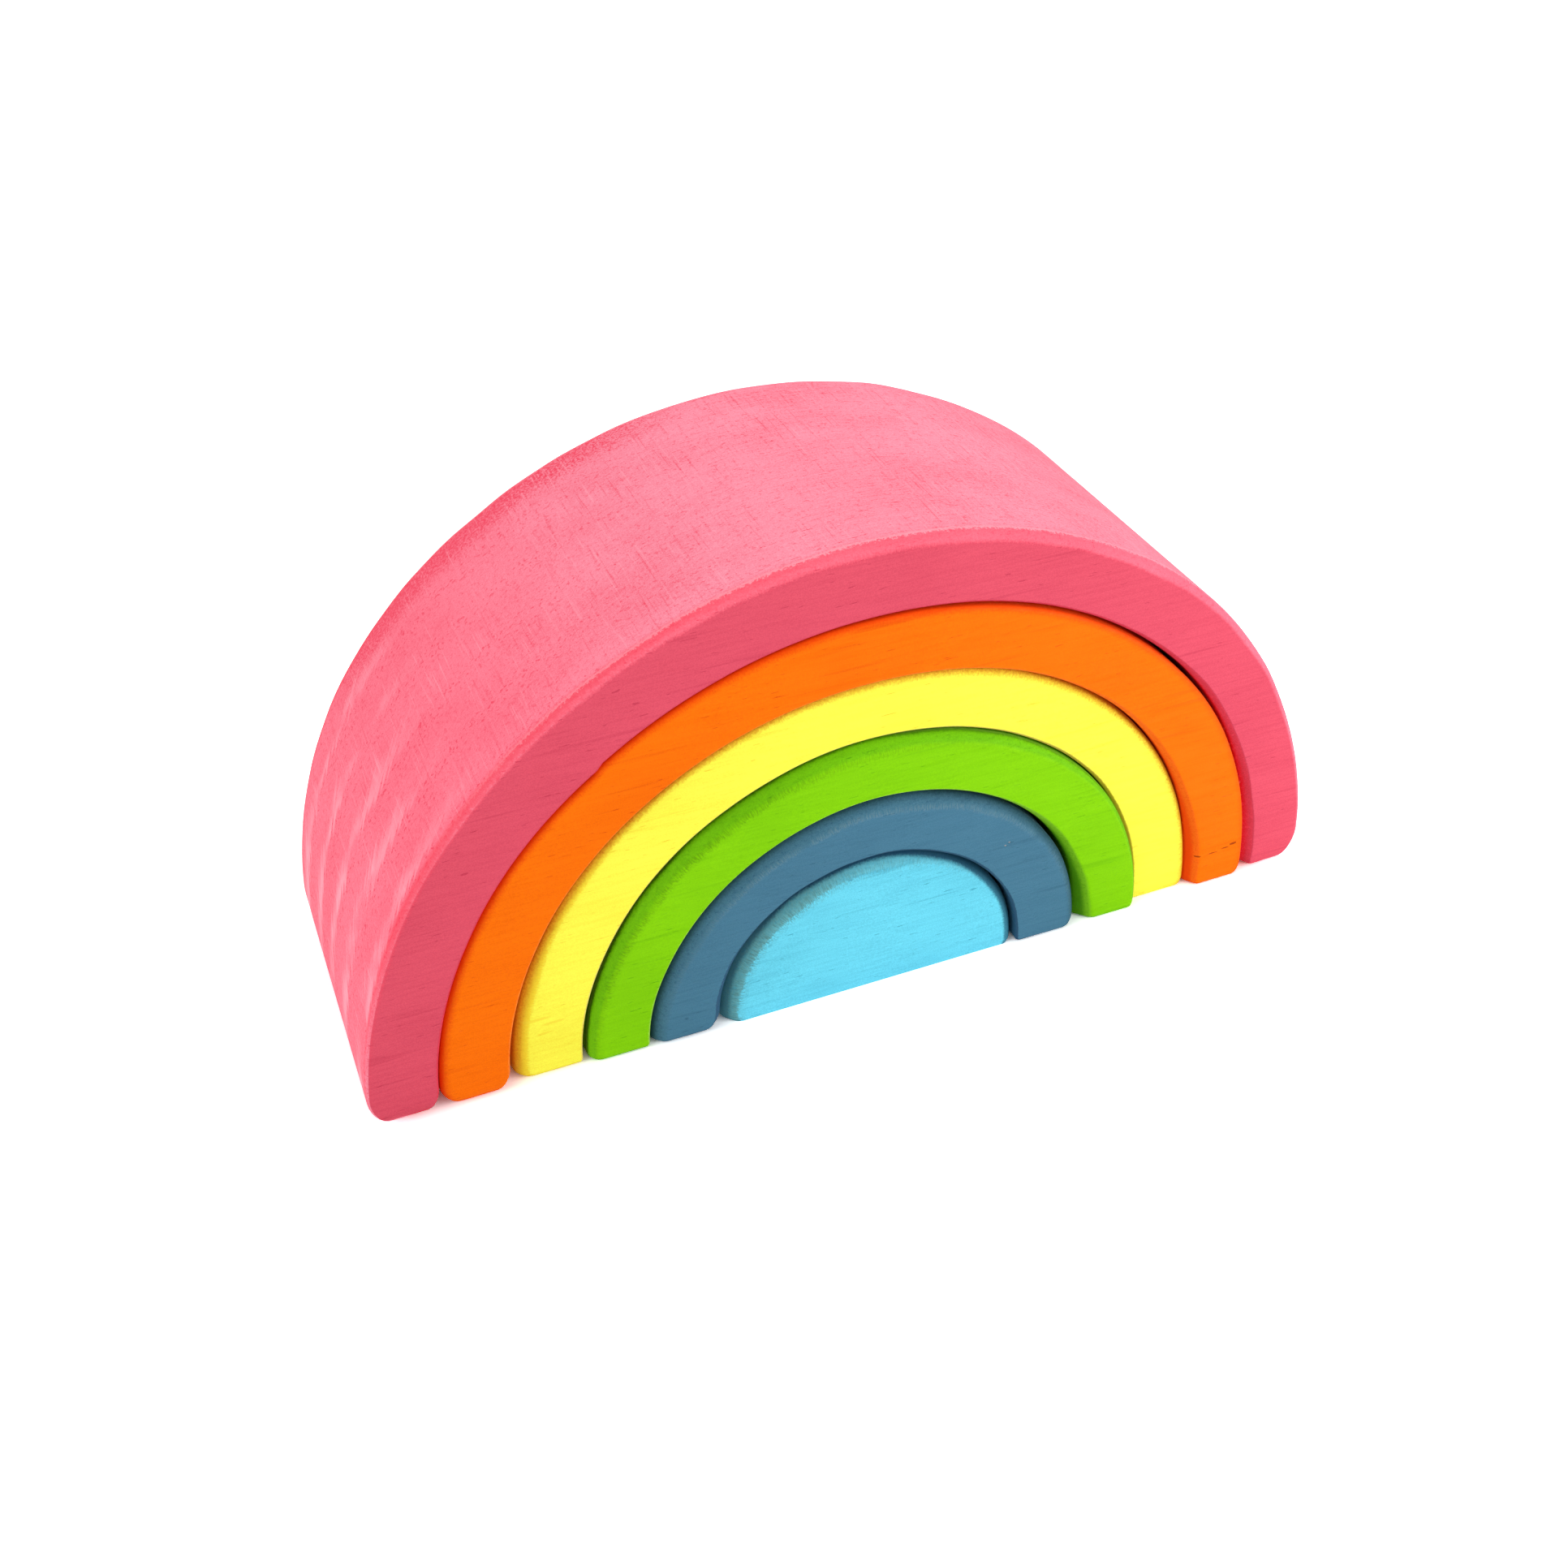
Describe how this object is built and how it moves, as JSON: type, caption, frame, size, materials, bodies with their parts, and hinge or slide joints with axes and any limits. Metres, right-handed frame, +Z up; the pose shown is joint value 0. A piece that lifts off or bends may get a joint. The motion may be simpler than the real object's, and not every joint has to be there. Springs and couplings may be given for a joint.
{
  "type": "rainbow stacker",
  "caption": "Nesting rainbow toy: stained wooden arches standing one inside another around a solid half-round, each loose so that it slides out to be stacked, balanced or sorted.",
  "frame": {"origin": "on the floor, under the middle of the nest", "axes": "+X to the right along the width, +Y to the back along the way the pieces slide, +Z up"},
  "size_m": [0.17, 0.0592, 0.085],
  "materials": {
    "pink_stain": "satin stain on sanded wood",
    "orange_stain": "satin stain on sanded wood",
    "yellow_stain": "satin stain on sanded wood",
    "green_stain": "satin stain on sanded wood",
    "slate_stain": "satin stain on sanded wood",
    "light_blue_stain": "satin stain on sanded wood"
  },
  "bodies": {
    "pink_arch": {"pink_arch": "pink_stain"},
    "orange_arch": {"orange_arch": "orange_stain"},
    "yellow_arch": {"yellow_arch": "yellow_stain"},
    "green_arch": {"green_arch": "green_stain"},
    "slate_arch": {"slate_arch": "slate_stain"},
    "half_round": {"half_round": "light_blue_stain"}
  },
  "joints": [
    {"name": "orange_slide", "type": "slide", "parent": "pink_arch", "child": "orange_arch", "axis": [0, 1, 0], "range_m": [-0.065, 0.065]},
    {"name": "yellow_slide", "type": "slide", "parent": "pink_arch", "child": "yellow_arch", "axis": [0, 1, 0], "range_m": [-0.065, 0.065]},
    {"name": "green_slide", "type": "slide", "parent": "pink_arch", "child": "green_arch", "axis": [0, 1, 0], "range_m": [-0.065, 0.065]},
    {"name": "slate_slide", "type": "slide", "parent": "pink_arch", "child": "slate_arch", "axis": [0, 1, 0], "range_m": [-0.065, 0.065]},
    {"name": "half_round_slide", "type": "slide", "parent": "pink_arch", "child": "half_round", "axis": [0, 1, 0], "range_m": [-0.065, 0.065]}
  ]
}
